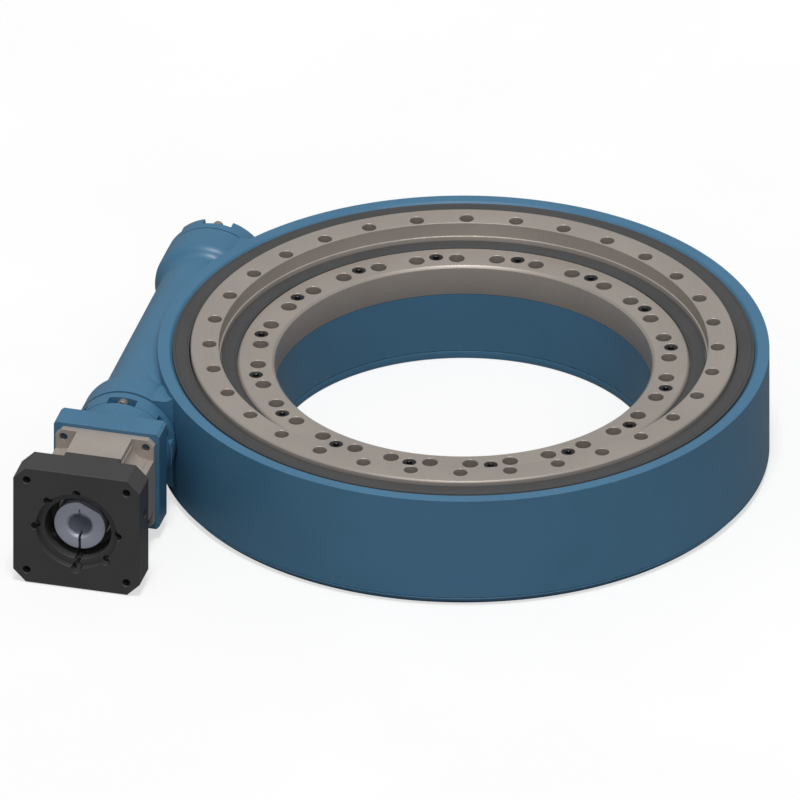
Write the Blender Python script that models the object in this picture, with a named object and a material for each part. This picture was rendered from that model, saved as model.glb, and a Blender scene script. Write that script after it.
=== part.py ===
"""Enclosed slewing ring bearing with a worm drive and an in-line planetary gearhead.

Frame: metres, +Z up. The origin is under the centre of the whole object's box, on
the face that it is bolted down on. The ring turns about +Z and the worm, the
gearhead and the motor socket turn about an axis parallel to Y, beside the ring.
"""
import math

import bmesh
import bpy
from mathutils import Matrix

# ---------------------------------------------------------------- driving sizes, mm
MM = 0.001
RING_X, RING_Y = 31.3, 28.4          # ring axis, from the origin
DRIVE_X, DRIVE_Z = -301.2, 65.5      # drive axis: beside the ring axis, above the base

RING_SEG = 40                        # facets round the large rings
HOUSING_R = 303.7                    # outside of the ring housing
BORE_R = 187.6                       # clear bore through the whole object
BASE_T = 8.2                         # base plate thickness
LIP_Z = 119.5                        # top of the housing's rim
LIP_IN_R = 292.4                     # inner edge of the rim
CAVITY_R = 283.0                     # inside of the outer wall
HUB_OUT_R = 222.0                    # outside of the inner wall
HUB_TOP_Z = 73.1
FLOOR_Z = 20.0

TURN_OUT_R, TURN_IN_R = 270.9, 243.0 # rotating ring
TURN_TOP_Z = 123.05
TURN_HOLES, TURN_PCD, TURN_HOLE_R, TURN_HOLE_DEPTH = 32, 504.4, 7.0, 30.0
TURN_HOLE_PHASE = 3.05

FIX_OUT_R, FIX_IN_R = 224.3, 187.6   # fixed bearing ring
FIX_TOP_Z, FIX_LOW_Z = 105.3, 73.4
FIX_HOLE_PCD, FIX_HOLE_R = 408.0, 7.75
SCREW_PCD, SCREW_COUNT = 415.4, 16
SCREW_HEAD_R, SCREW_SHANK_R = 6.5, 4.0

ROLLER_R, ROLLER_Z = 233.0, 87.0     # centre of the crossed rollers
ROLLERS = 36

WHEEL_TEETH, WORM_MODULE, WORM_STARTS = 92, 6.0, 2
WHEEL_PITCH_R = WHEEL_TEETH * WORM_MODULE / 2.0          # 276
WORM_PITCH_R = -DRIVE_X - WHEEL_PITCH_R                  # 25.2
WORM_PITCH = math.pi * WORM_MODULE
WORM_LEAD = WORM_STARTS * WORM_PITCH
WORM_HALF_LEN = 45.0
TOOTH_TAN = math.tan(math.radians(20.0))
WHEEL_LOW_Z, WHEEL_TOP_Z = 50.5, 80.5

SUN_TEETH, PLANET_TEETH, RING_TEETH, GEAR_MODULE = 12, 15, 42, 1.5
PLANETS = 3
CARRIER_R = GEAR_MODULE * (SUN_TEETH + PLANET_TEETH) / 2.0   # 20.25

END_R, TUBE_R = 52.8, 43.4           # worm housing
END_FACE_Y = 167.2
PLATE_FRONT_Y, PLATE_BACK_Y = -360.5, -326.3
PLATE_HALF, PLATE_CORNER = 65.0, 13.0
PLATE_BOLT = 51.25                   # half spacing of the four motor bolts (PCD 145)
PILOT_R, PILOT_DEPTH, PLATE_BORE_R = 41.7, 6.0, 34.3
BODY_HALF = 50.5
NECK_BACK_Y = -295.0                 # the adapter's neck ends and the gear case begins
BODY_BACK_Y = -245.4
FLANGE_HALF = 54.2
FLANGE_BACK_Y = -216.1
BELL_R, BELL_FLANGE_R = 51.6, 52.6
HUB_R, SHAFT_BORE_R = 26.05, 12.0    # clamp hub, for a 24 mm motor shaft
GAP = 0.3

# ---------------------------------------------------------------- scene and materials
for old in list(bpy.data.objects):
    bpy.data.objects.remove(old, do_unlink=True)

COLOURS = {
    "housing_paint": ((0.055, 0.145, 0.255), 0.45, 0.0),
    "ring_steel": ((0.33, 0.29, 0.26), 0.42, 0.6),
    "seal_rubber": ((0.075, 0.075, 0.078), 0.6, 0.0),
    "adapter_black": ((0.032, 0.032, 0.034), 0.5, 0.1),
    "gearbox_steel": ((0.33, 0.29, 0.26), 0.4, 0.6),
    "hub_steel": ((0.28, 0.29, 0.33), 0.3, 0.8),
    "screw_black": ((0.02, 0.02, 0.02), 0.4, 0.5),
    "screw_steel": ((0.40, 0.37, 0.33), 0.35, 0.8),
    "bearing_steel": ((0.42, 0.42, 0.43), 0.3, 0.9),
    "gear_steel": ((0.30, 0.30, 0.31), 0.35, 0.9),
    "wheel_bronze": ((0.50, 0.30, 0.12), 0.35, 0.9),
}


def material_for(node, slot):
    rgb, rough, metal = COLOURS[slot]
    mat = bpy.data.materials.new(node + "_" + slot)
    mat.use_nodes = True
    bsdf = mat.node_tree.nodes["Principled BSDF"]
    bsdf.inputs["Base Color"].default_value = (rgb[0], rgb[1], rgb[2], 1.0)
    bsdf.inputs["Roughness"].default_value = rough
    bsdf.inputs["Metallic"].default_value = metal
    return mat


def add_empty(name, loc, parent=None):
    obj = bpy.data.objects.new(name, None)
    obj.empty_display_size = 0.02
    obj.location = [v * MM for v in loc]
    obj.parent = parent
    bpy.context.scene.collection.objects.link(obj)
    return obj


def finish_mesh(name, bm):
    bmesh.ops.recalc_face_normals(bm, faces=bm.faces[:])
    if bm.calc_volume(signed=True) < 0.0:
        bmesh.ops.reverse_faces(bm, faces=bm.faces[:])
    mesh = bpy.data.meshes.new(name)
    bm.to_mesh(mesh)
    bm.free()
    mesh.shade_smooth()
    mesh.set_sharp_from_angle(angle=math.radians(30.0))
    return mesh


def add_piece(name, slot, mesh, parent, loc=(0, 0, 0), rot_y=0.0):
    obj = bpy.data.objects.new(name, mesh)
    obj.parent = parent
    obj.location = [v * MM for v in loc]
    obj.rotation_euler = (0.0, rot_y, 0.0)
    bpy.context.scene.collection.objects.link(obj)
    # copies that share a mesh each get a material of their own, on the object
    if not mesh.materials:
        mesh.materials.append(None)
    obj.material_slots[0].link = "OBJECT"
    obj.material_slots[0].material = material_for(name, slot)
    return obj


def add_cutter(name, mesh, parent, loc=(0, 0, 0)):
    obj = bpy.data.objects.new("cut_" + name, mesh)
    obj.parent = parent
    obj.location = [v * MM for v in loc]
    obj.hide_render = True
    obj.display_type = "WIRE"
    bpy.context.scene.collection.objects.link(obj)
    return obj


def boolean(obj, cutter, operation):
    mod = obj.modifiers.new(cutter.name, "BOOLEAN")
    mod.operation = operation
    mod.solver = "EXACT"
    mod.object = cutter
    return mod


# ---------------------------------------------------------------- shapes, sizes in mm
TO_Y = Matrix.Rotation(math.radians(-90.0), 4, "X")      # +Z of a turned shape to +Y
TO_X = Matrix.Rotation(math.radians(90.0), 4, "Y")       # +Z of a shape to +X


def lathe(bm, profile, seg, phase=0.0, along="Z", shift=(0, 0, 0)):
    """Turn a closed (radius, height) loop; points at radius 0 become a single vertex."""
    rows, made = [], []
    for radius, height in profile:
        row = []
        if radius < 1e-6:
            vert = bm.verts.new((0.0, 0.0, height * MM))
            made.append(vert)
            row = [vert] * seg
        else:
            for i in range(seg):
                a = phase + 2.0 * math.pi * i / seg
                vert = bm.verts.new((radius * math.cos(a) * MM,
                                     radius * math.sin(a) * MM, height * MM))
                made.append(vert)
                row.append(vert)
        rows.append(row)
    for j in range(len(rows)):
        lo, hi = rows[j], rows[(j + 1) % len(rows)]
        for i in range(seg):
            k = (i + 1) % seg
            quad = []
            for vert in (lo[i], lo[k], hi[k], hi[i]):
                if vert not in quad:
                    quad.append(vert)
            if len(quad) > 2:
                bm.faces.new(quad)
    move = Matrix.Translation([v * MM for v in shift])
    if along == "Y":
        move = move @ TO_Y
    elif along == "X":
        move = move @ TO_X
    bmesh.ops.transform(bm, matrix=move, verts=made)
    return made


def cylinder(bm, radius, low, high, seg, along="Z", shift=(0, 0, 0), phase=0.0):
    return lathe(bm, [(0, low), (radius, low), (radius, high), (0, high)], seg,
                 phase, along, shift)


def prism(bm, outer, low, high, holes=(), twist=0.0, along="Z", shift=(0, 0, 0)):
    """Extrude a flat outline with holes from low to high, turning it by twist."""
    made = []
    for level, angle in ((low, -twist / 2.0), (high, twist / 2.0)):
        ca, sa = math.cos(angle), math.sin(angle)
        edges = []
        for loop in [outer] + list(holes):
            verts = [bm.verts.new(((x * ca - y * sa) * MM, (x * sa + y * ca) * MM,
                                   level * MM)) for x, y in loop]
            made.append(verts)
            edges += [bm.edges.new((verts[i], verts[(i + 1) % len(verts)]))
                      for i in range(len(verts))]
        bmesh.ops.triangle_fill(bm, use_beauty=True, use_dissolve=False, edges=edges)
    half = len(made) // 2
    for lo, hi in zip(made[:half], made[half:]):
        for i in range(len(lo)):
            k = (i + 1) % len(lo)
            bm.faces.new((lo[i], lo[k], hi[k], hi[i]))
    verts = [v for loop in made for v in loop]
    move = Matrix.Translation([v * MM for v in shift])
    if along == "Y":
        # the outline's x stays x, its y becomes z, and low..high runs along +Y
        swap = Matrix(((1, 0, 0, 0), (0, 0, 1, 0), (0, 1, 0, 0), (0, 0, 0, 1)))
        move = move @ swap
    bmesh.ops.transform(bm, matrix=move, verts=verts)
    return verts


def box(bm, low, high):
    prism(bm, [(low[0], low[1]), (high[0], low[1]), (high[0], high[1]), (low[0], high[1])],
          low[2], high[2])


def circle(radius, seg, cx=0.0, cy=0.0, phase=0.0):
    return [(cx + radius * math.cos(phase + 2 * math.pi * i / seg),
             cy + radius * math.sin(phase + 2 * math.pi * i / seg)) for i in range(seg)]


def cut_square(half, cut):
    """A square outline with its corners cut off."""
    a, b = half, half - cut
    return [(a, -b), (a, b), (b, a), (-b, a), (-a, b), (-a, -b), (-b, -a), (b, -a)]


def gear_outline(teeth, root_r, tip_r, root_w, tip_w, tooth_at=0.0):
    """Straight-sided teeth: widths at the root and tip circles, a tooth at tooth_at."""
    points = []
    for n in range(teeth):
        mid = tooth_at + 2.0 * math.pi * n / teeth
        for radius, width, side in ((root_r, root_w, -1), (tip_r, tip_w, -1),
                                    (tip_r, tip_w, 1), (root_r, root_w, 1)):
            a = mid + side * width / 2.0 / radius
            points.append((radius * math.cos(a), radius * math.sin(a)))
    return points


def mesh_of(name, build):
    bm = bmesh.new()
    build(bm)
    return finish_mesh(name, bm)


ring_frame = add_empty("ring_axis", (RING_X, RING_Y, 0.0))
drive_frame = add_empty("drive_axis", (RING_X + DRIVE_X, RING_Y, DRIVE_Z))


# ---------------------------------------------------------------- housing and base
def ring_piece(name, slot, profile, seg=RING_SEG):
    return add_piece(name, slot, mesh_of(name, lambda bm: lathe(bm, profile, seg)),
                     ring_frame)


ring_piece("base_plate", "housing_paint",
           [(BORE_R, 0), (HOUSING_R - 6.0, 0), (HOUSING_R, 6.9), (HOUSING_R, BASE_T),
            (BORE_R, BASE_T)])

housing = ring_piece("ring_housing", "housing_paint",
                     [(BORE_R, BASE_T + GAP), (HOUSING_R, BASE_T + GAP),
                      (HOUSING_R, LIP_Z), (BORE_R, LIP_Z)])


def worm_tube(bm):
    """The tube that the worm turns in: two end barrels joined by cones to the tube."""
    half = [(TUBE_R, 119.0), (44.6, 124.5), (48.0, 128.9), (51.4, 133.3), (END_R - 0.2, 138.8),
            (END_R - 0.2, 160.0), (0, 160.0)]
    lathe(bm, [(r, -y) for r, y in reversed(half)] + half,
          24, along="Y")


def end_webs(bm):
    """A web at each end joins the barrel to the ring wall, hollowed above and below."""
    top = [(60.0, 52.9), (47.8, 52.9), (44.2, 50.6), (39.2, 48.2), (33.2, 46.8)]
    arc = [(END_R * math.cos(math.radians(61.0 + 14.0 * i)),
            END_R * math.sin(math.radians(61.0 + 14.0 * i))) for i in range(18)]
    outline = top + arc + [(x, -z) for x, z in reversed(top)]
    prism(bm, outline, -END_FACE_Y, -133.6, along="Y")
    prism(bm, outline, 133.6, END_FACE_Y, along="Y")


def ring_cavity(bm):
    """Everything inside the ring: the gear space, the seal seat and the bore."""
    lathe(bm, [(HUB_OUT_R, FLOOR_Z), (CAVITY_R, FLOOR_Z), (CAVITY_R, 111.0),
               (289.2, 111.0), (289.2, LIP_Z - LIP_IN_R + 289.2),
               (LIP_IN_R + 10.0, LIP_Z + 10.0), (150.0, LIP_Z + 10.0), (150.0, HUB_TOP_Z), (HUB_OUT_R, HUB_TOP_Z)], RING_SEG)


def worm_space(bm):
    """The worm's own bore, with a wider seat for a bearing unit in each barrel."""
    face = END_FACE_Y + 0.2           # spot face that lets the end flanges past the ring
    lathe(bm, [(0, -196.0), (53.8, -196.0), (53.8, -face), (40.4, -face), (40.4, -133.7),
               (34.0, -133.7), (34.0, 133.7), (40.4, 133.7), (40.4, face), (53.8, face),
               (53.8, 196.0), (0, 196.0)], 24, along="Y")


END_SCREW_ANGLES = [math.radians(90.0 + 60.0 * n) for n in range(6)]
END_SCREW_R = 46.6


def end_screw_holes(bm):
    for a in END_SCREW_ANGLES:
        x, z = END_SCREW_R * math.cos(a), END_SCREW_R * math.sin(a)
        cylinder(bm, 3.3, -180.0, -156.0, 6, "Y", (x, 0, z))
        cylinder(bm, 3.3, 156.0, 180.0, 6, "Y", (x, 0, z))


def ring_screw_holes(bm):
    for n in range(SCREW_COUNT):
        a = 2 * math.pi * n / SCREW_COUNT
        cylinder(bm, SCREW_SHANK_R + 0.7, 55.0, 80.0, 6,
                 shift=(SCREW_PCD / 2 * math.cos(a), SCREW_PCD / 2 * math.sin(a), 0))


boolean(housing, add_cutter("worm_tube", mesh_of("worm_tube", worm_tube), drive_frame), "UNION")
boolean(housing, add_cutter("end_webs", mesh_of("end_webs", end_webs), drive_frame), "UNION")
boolean(housing, add_cutter("ring_cavity", mesh_of("ring_cavity", ring_cavity), ring_frame),
        "DIFFERENCE")
boolean(housing, add_cutter("worm_space", mesh_of("worm_space", worm_space), drive_frame),
        "DIFFERENCE")
boolean(housing, add_cutter("end_screws", mesh_of("end_screw_holes", end_screw_holes),
                            drive_frame), "DIFFERENCE")
boolean(housing, add_cutter("ring_screws", mesh_of("ring_screw_holes", ring_screw_holes),
                            ring_frame), "DIFFERENCE")

# ---------------------------------------------------------------- bearing rings, seals
ring_piece("outer_seal", "seal_rubber",
           [(272.2, 111.4), (288.9, 111.4), (288.9, 119.0), (272.2, 119.0)])
ring_piece("inner_seal", "seal_rubber",
           [(224.7, 100.1), (240.4, 100.1), (240.4, 104.9), (224.7, 104.9)])

GROOVE = 8.0                          # depth of each half of the roller raceway
FIX_RACE_R, TURN_RACE_R = ROLLER_R - 1.0, ROLLER_R + 1.2
fixed = ring_piece("inner_bearing_ring", "ring_steel",
                   [(FIX_IN_R, FIX_LOW_Z), (FIX_RACE_R, FIX_LOW_Z),
                    (FIX_RACE_R, ROLLER_Z - 7.5), (ROLLER_R - GROOVE, ROLLER_Z),
                    (FIX_RACE_R, ROLLER_Z + 7.5), (FIX_RACE_R, 99.8), (FIX_OUT_R, 99.8),
                    (FIX_OUT_R, FIX_TOP_Z - 2.0), (FIX_OUT_R - 2.0, FIX_TOP_Z),
                    (FIX_IN_R + 2.4, FIX_TOP_Z), (FIX_IN_R, FIX_TOP_Z - 2.4)])


def fixed_ring_holes(bm):
    for n in range(SCREW_COUNT):
        a = 2 * math.pi * n / SCREW_COUNT
        for side in (-1, 1):
            b = a + side * math.radians(5.625)
            cylinder(bm, FIX_HOLE_R, 60.0, 120.0, 8, phase=b,
                     shift=(FIX_HOLE_PCD / 2 * math.cos(b), FIX_HOLE_PCD / 2 * math.sin(b), 0))
        # one stepped hole for each socket-head screw
        lathe(bm, [(0, 60.0), (SCREW_SHANK_R + 0.7, 60.0), (SCREW_SHANK_R + 0.7, 96.0),
                   (SCREW_HEAD_R + 0.8, 96.0), (SCREW_HEAD_R + 0.8, 120.0), (0, 120.0)], 8,
              phase=a, shift=(SCREW_PCD / 2 * math.cos(a), SCREW_PCD / 2 * math.sin(a), 0))


boolean(fixed, add_cutter("fixed_holes", mesh_of("fixed_holes", fixed_ring_holes), ring_frame),
        "DIFFERENCE")


def socket_screw(bm):
    """A socket-head screw standing on its shank, the underside of its head at 0."""
    lathe(bm, [(0, -26.0), (SCREW_SHANK_R, -26.0), (SCREW_SHANK_R, 0), (SCREW_HEAD_R, 0),
               (SCREW_HEAD_R, 8.0), (3.4, 8.0), (3.4, 3.6), (0, 3.6)], 6)


ring_screw_mesh = mesh_of("ring_screw", socket_screw)
for n in range(SCREW_COUNT):
    a = 2 * math.pi * n / SCREW_COUNT
    add_piece("ring_screw_%02d" % (n + 1), "screw_black", ring_screw_mesh, ring_frame,
              (SCREW_PCD / 2 * math.cos(a), SCREW_PCD / 2 * math.sin(a), 96.4))

turning = ring_piece("rotating_ring", "ring_steel",
                     [(TURN_RACE_R, 50.5), (257.5, 50.5), (257.5, 81.2), (TURN_OUT_R, 81.2),
                      (TURN_OUT_R, TURN_TOP_Z), (TURN_IN_R, TURN_TOP_Z),
                      (TURN_IN_R, 108.3), (TURN_IN_R - 1.4, 108.3), (TURN_IN_R - 1.4, 99.2),
                      (TURN_RACE_R, 99.2), (TURN_RACE_R, ROLLER_Z + 7.5),
                      (ROLLER_R + GROOVE, ROLLER_Z), (TURN_RACE_R, ROLLER_Z - 7.5)])


def turning_holes(bm):
    for n in range(TURN_HOLES):
        a = math.radians(TURN_HOLE_PHASE + 360.0 * n / TURN_HOLES)
        cylinder(bm, TURN_HOLE_R, TURN_TOP_Z - TURN_HOLE_DEPTH, 140.0, 8, phase=a,
                 shift=(TURN_PCD / 2 * math.cos(a), TURN_PCD / 2 * math.sin(a), 0))


boolean(turning, add_cutter("turning_holes", mesh_of("turning_holes", turning_holes),
                            ring_frame), "DIFFERENCE")


def roller_cage(bm):
    """Crossed rollers held in their cage: wide sections are rollers, narrow ones webs."""
    sections = []
    for n in range(2 * ROLLERS):
        a = math.pi * n / ROLLERS
        size = 6.3 if n % 2 == 0 else 3.0
        ring = []
        for dr, dz in ((size, 0), (0, size), (-size, 0), (0, -size)):
            r = ROLLER_R + dr
            ring.append(bm.verts.new((r * math.cos(a) * MM, r * math.sin(a) * MM,
                                      (ROLLER_Z + dz) * MM)))
        sections.append(ring)
    for n, ring in enumerate(sections):
        nxt = sections[(n + 1) % len(sections)]
        for i in range(4):
            k = (i + 1) % 4
            bm.faces.new((ring[i], ring[k], nxt[k], nxt[i]))


add_piece("roller_cage", "bearing_steel", mesh_of("roller_cage", roller_cage), ring_frame)

# ---------------------------------------------------------------- worm and wheel
WORM_ADD, WORM_DED = 4.5, 5.5
WORM_W, WHEEL_W = 8.1, 8.3           # tooth widths at the pitch line; the rest is backlash
LEAD_TAN = WORM_LEAD / (2 * math.pi * WORM_PITCH_R)


def worm_wheel(bm):
    """Helical teeth that follow the worm's lead; a tooth space faces the worm at rest."""
    outline = gear_outline(WHEEL_TEETH, WHEEL_PITCH_R - WORM_DED, WHEEL_PITCH_R + WORM_ADD,
                           WHEEL_W + 2 * WORM_DED * TOOTH_TAN,
                           WHEEL_W - 2 * WORM_ADD * TOOTH_TAN,
                           tooth_at=math.pi + math.pi / WHEEL_TEETH)
    twist = LEAD_TAN * (WHEEL_TOP_Z - WHEEL_LOW_Z) / WHEEL_PITCH_R
    half = (WHEEL_TOP_Z - WHEEL_LOW_Z) / 2.0
    prism(bm, outline, -half, half, [circle(258.6, RING_SEG)], twist=twist,
          shift=(0, 0, WHEEL_LOW_Z + half))


add_piece("worm_wheel", "wheel_bronze", mesh_of("worm_wheel", worm_wheel), ring_frame)


def worm_blank(bm):
    """Shaft with its bearing journals and the coupling's journal at the front."""
    root = WORM_PITCH_R - WORM_DED
    lathe(bm, [(0, -191.0), (15.5, -191.0), (15.5, -156.5), (17.0, -156.5), (17.0, -133.0),
               (19.0, -133.0), (root, -56.0), (root, 56.0), (19.0, 133.0), (17.0, 133.0),
               (17.0, 156.5), (0, 156.5)], 16, along="Y")


def worm_threads(bm):
    """Two right-hand threads of trapezium section; one faces the wheel at mid-length."""
    root, tip = WORM_PITCH_R - WORM_DED - 1.5, WORM_PITCH_R + WORM_ADD
    steps = 16
    root_w = WORM_W / 2 + (WORM_DED + 1.5) * TOOTH_TAN
    tip_w = WORM_W / 2 - WORM_ADD * TOOTH_TAN
    half_turns = WORM_HALF_LEN / WORM_LEAD
    count = int(round(2 * half_turns * steps))
    for start in range(WORM_STARTS):
        offset = 2 * math.pi * start / WORM_STARTS
        sections = []
        for n in range(count + 1):
            turn = (n - count / 2.0) / steps
            y = WORM_LEAD * turn
            a = 2 * math.pi * turn + offset
            ring = []
            for r, dy in ((root, -root_w), (tip, -tip_w), (tip, tip_w), (root, root_w)):
                ring.append(bm.verts.new((r * math.cos(a) * MM, (y + dy) * MM,
                                          -r * math.sin(a) * MM)))
            sections.append(ring)
        for lo, hi in zip(sections, sections[1:]):
            for i in range(4):
                k = (i + 1) % 4
                bm.faces.new((lo[i], lo[k], hi[k], hi[i]))
        bm.faces.new(sections[0])
        bm.faces.new(sections[-1])


worm = add_piece("worm_shaft", "gear_steel", mesh_of("worm_shaft", worm_blank), drive_frame)
boolean(worm, add_cutter("worm_threads", mesh_of("worm_threads", worm_threads), drive_frame),
        "UNION")


def drive_piece(name, slot, build, loc=(0, 0, 0)):
    return add_piece(name, slot, mesh_of(name, build), drive_frame, loc)


BEARING = [(17.4, -10.0), (40.0, -10.0), (40.0, 10.0), (17.4, 10.0)]
drive_piece("worm_bearing_front", "bearing_steel",
            lambda bm: lathe(bm, BEARING, 24, along="Y"), (0, -144.0, 0))
drive_piece("worm_bearing_rear", "bearing_steel",
            lambda bm: lathe(bm, BEARING, 24, along="Y"), (0, 144.0, 0))

# ---------------------------------------------------------------- ends of the worm tube
def end_windows(bm, low, high):
    """Six open windows round a flange, one for the head of each screw."""
    for a in END_SCREW_ANGLES:
        ca, sa = math.cos(a), math.sin(a)
        outline = [(r * ca - t * sa, r * sa + t * ca)
                   for r, t in ((40.5, -12.5), (60.0, -16.5), (60.0, 16.5), (40.5, 12.5))]
        prism(bm, outline, low, high, along="Y")


def screw_clearance(bm, low, high):
    for a in END_SCREW_ANGLES:
        cylinder(bm, 3.3, low, high, 6, "Y",
                 (END_SCREW_R * math.cos(a), 0, END_SCREW_R * math.sin(a)))


rear_cap = drive_piece("rear_end_cap", "housing_paint", lambda bm: lathe(
    bm, [(0, 154.4), (40.0, 154.4), (40.0, 167.5), (51.0, 167.5), (51.0, 169.5),
         (BELL_FLANGE_R, 169.5), (BELL_FLANGE_R, 187.4), (24.0, 187.4), (24.0, 178.0),
         (0, 178.0)], 24, along="Y"))
boolean(rear_cap, add_cutter("rear_recess", mesh_of("rear_recess", lambda bm: cylinder(
    bm, 20.0, 140.0, 162.0, 16, "Y")), drive_frame), "DIFFERENCE")
boolean(rear_cap, add_cutter("rear_windows", mesh_of("rear_windows", lambda bm: end_windows(
    bm, 178.0, 200.0)), drive_frame), "DIFFERENCE")
boolean(rear_cap, add_cutter("rear_clear", mesh_of("rear_clear", lambda bm: screw_clearance(
    bm, 164.0, 190.0)), drive_frame), "DIFFERENCE")

bell = drive_piece("adapter_bell", "housing_paint", lambda bm: lathe(
    bm, [(20.0, -154.4), (40.0, -154.4), (40.0, -167.5), (51.0, -167.5), (51.0, -169.9),
         (BELL_FLANGE_R, -169.9), (BELL_FLANGE_R, -188.8), (BELL_R, -188.8),
         (BELL_R, FLANGE_BACK_Y + GAP), (33.0, FLANGE_BACK_Y + GAP), (33.0, -166.0),
         (20.0, -166.0)][::-1], 24, along="Y"))
boolean(bell, add_cutter("bell_windows", mesh_of("bell_windows", lambda bm: end_windows(
    bm, -190.0, -179.2)), drive_frame), "DIFFERENCE")
boolean(bell, add_cutter("bell_clear", mesh_of("bell_clear", lambda bm: screw_clearance(
    bm, -185.0, -165.0)), drive_frame), "DIFFERENCE")


def end_screw(bm):
    """A hexagon-headed screw, the underside of its head at 0 and its head along +Y."""
    lathe(bm, [(0, -19.0), (2.9, -19.0), (2.9, 0), (5.2, 0), (5.2, 7.2), (0, 7.2)], 6,
          along="Y")


end_screw_mesh = mesh_of("end_screw", end_screw)
front_screw_mesh = mesh_of("front_screw", lambda bm: lathe(
    bm, [(0, 19.0), (2.9, 19.0), (2.9, 0), (5.2, 0), (5.2, -7.2), (0, -7.2)], 6, along="Y"))
for n, a in enumerate(END_SCREW_ANGLES):
    x, z = END_SCREW_R * math.cos(a), END_SCREW_R * math.sin(a)
    add_piece("rear_cap_screw_%d" % (n + 1), "screw_steel", end_screw_mesh, drive_frame,
              (x, 178.0 + GAP, z))
    add_piece("bell_screw_%d" % (n + 1), "screw_steel", front_screw_mesh, drive_frame,
              (x, -179.2 - GAP, z))

drive_piece("drive_coupling", "gear_steel", lambda bm: lathe(
    bm, [(16.4, -209.0), (26.0, -209.0), (26.0, -173.5), (16.4, -173.5)], 16, along="Y"))

# ---------------------------------------------------------------- gearhead
flange = drive_piece("gearbox_flange", "housing_paint", lambda bm: prism(
    bm, cut_square(FLANGE_HALF, 3.0), BODY_BACK_Y + GAP, FLANGE_BACK_Y,
    [circle(30.8, 16)], along="Y"))


def body_block(bm):
    prism(bm, cut_square(BODY_HALF, 6.5), NECK_BACK_Y + GAP, BODY_BACK_Y, along="Y")


def corner_pockets(bm):
    """A scalloped pocket along each corner, hollowed round the bolt's axis."""
    inner, bolt, far = 28.2, 42.2, 60.0
    arc = [(bolt + 14.1 * math.cos(math.radians(a)), bolt + 14.1 * math.sin(math.radians(a)))
           for a in (262.7, 225.0, 187.3)]
    outline = [(far, inner), (44.0, inner)] + arc + [(inner, 44.0), (inner, far), (far, far)]
    for n in range(4):
        ca, sa = math.cos(n * math.pi / 2), math.sin(n * math.pi / 2)
        prism(bm, [(x * ca - y * sa, x * sa + y * ca) for x, y in outline],
              PLATE_BACK_Y + 1.0, BODY_BACK_Y - 7.0, along="Y")


def body_cavity(bm):
    """Seats for the ring gear and the output bearing, front to back."""
    lathe(bm, [(0, -340.0), (38.2, -340.0), (38.2, -264.4), (30.8, -264.4),
               (30.8, -230.0), (0, -230.0)], 24, along="Y")


def body_bolt_holes(bm):
    for sx in (-1, 1):
        for sz in (-1, 1):
            cylinder(bm, 4.2, -262.0, -240.0, 8, "Y", (42.2 * sx, 0, 42.2 * sz))


body = drive_piece("gearbox_body", "gearbox_steel", body_block)
boolean(body, add_cutter("pockets", mesh_of("pockets", corner_pockets), drive_frame),
        "DIFFERENCE")
boolean(body, add_cutter("body_cavity", mesh_of("body_cavity", body_cavity), drive_frame),
        "DIFFERENCE")
boolean(body, add_cutter("body_bolts", mesh_of("body_bolts", body_bolt_holes), drive_frame),
        "DIFFERENCE")

drive_piece("input_bearing", "bearing_steel", lambda bm: lathe(
    bm, [(17.4, -324.5), (28.0, -324.5), (28.0, -310.5), (17.4, -310.5)], 24, along="Y"))
drive_piece("output_bearing", "bearing_steel", lambda bm: lathe(
    bm, [(16.4, -263.0), (30.5, -263.0), (30.5, -247.0), (16.4, -247.0)], 24, along="Y"))

# trapezium teeth of module 1.5, thinned for backlash
ADD, DED = 1.3, 1.75
TOOTH_W = GEAR_MODULE * math.pi / 2.0 - 0.45


def tooth_widths(grow):
    """Widths at the root and tip circles of an external tooth."""
    return TOOTH_W + 2 * DED * TOOTH_TAN * grow, TOOTH_W - 2 * ADD * TOOTH_TAN * grow


def ring_gear(bm):
    """Internal teeth; a tooth space stands over each planet."""
    pitch_r = GEAR_MODULE * RING_TEETH / 2.0
    root_w, tip_w = tooth_widths(1.0)
    inner = gear_outline(RING_TEETH, pitch_r + DED, pitch_r - ADD, root_w, tip_w,
                         tooth_at=math.pi / RING_TEETH)
    prism(bm, circle(37.9, 24), -300.0, -276.0, [inner], along="Y")


drive_piece("ring_gear", "gear_steel", ring_gear)


def sun(bm):
    """Sun pinion on a stub that is pressed into the clamp hub's inner end."""
    pitch_r = GEAR_MODULE * SUN_TEETH / 2.0
    root_w, tip_w = tooth_widths(1.0)
    prism(bm, gear_outline(SUN_TEETH, pitch_r - DED, pitch_r + ADD, root_w, tip_w),
          -299.0, -277.0, along="Y")


def sun_stub(bm):
    cylinder(bm, 5.5, -310.5, -288.0, 8, "Y")


sun_gear = drive_piece("sun_gear", "gear_steel", sun)
boolean(sun_gear, add_cutter("sun_stub", mesh_of("sun_stub", sun_stub), drive_frame), "UNION")

PIN_R = 4.0


def carrier(bm):
    """Output shaft with the disc that holds the three planet pins."""
    lathe(bm, [(0, -275.0), (29.5, -275.0), (29.5, -266.0), (16.0, -266.0),
               (16.0, -191.8), (0, -191.8)], 16, along="Y")


def carrier_pins(bm):
    for n in range(PLANETS):
        a = 2 * math.pi * n / PLANETS
        cylinder(bm, PIN_R, -299.5, -270.0, 8, "Y",
                 (CARRIER_R * math.cos(a), 0, CARRIER_R * math.sin(a)))


planet_carrier = drive_piece("planet_carrier", "gear_steel", carrier)
boolean(planet_carrier, add_cutter("carrier_pins", mesh_of("carrier_pins", carrier_pins),
                                   drive_frame), "UNION")

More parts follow.
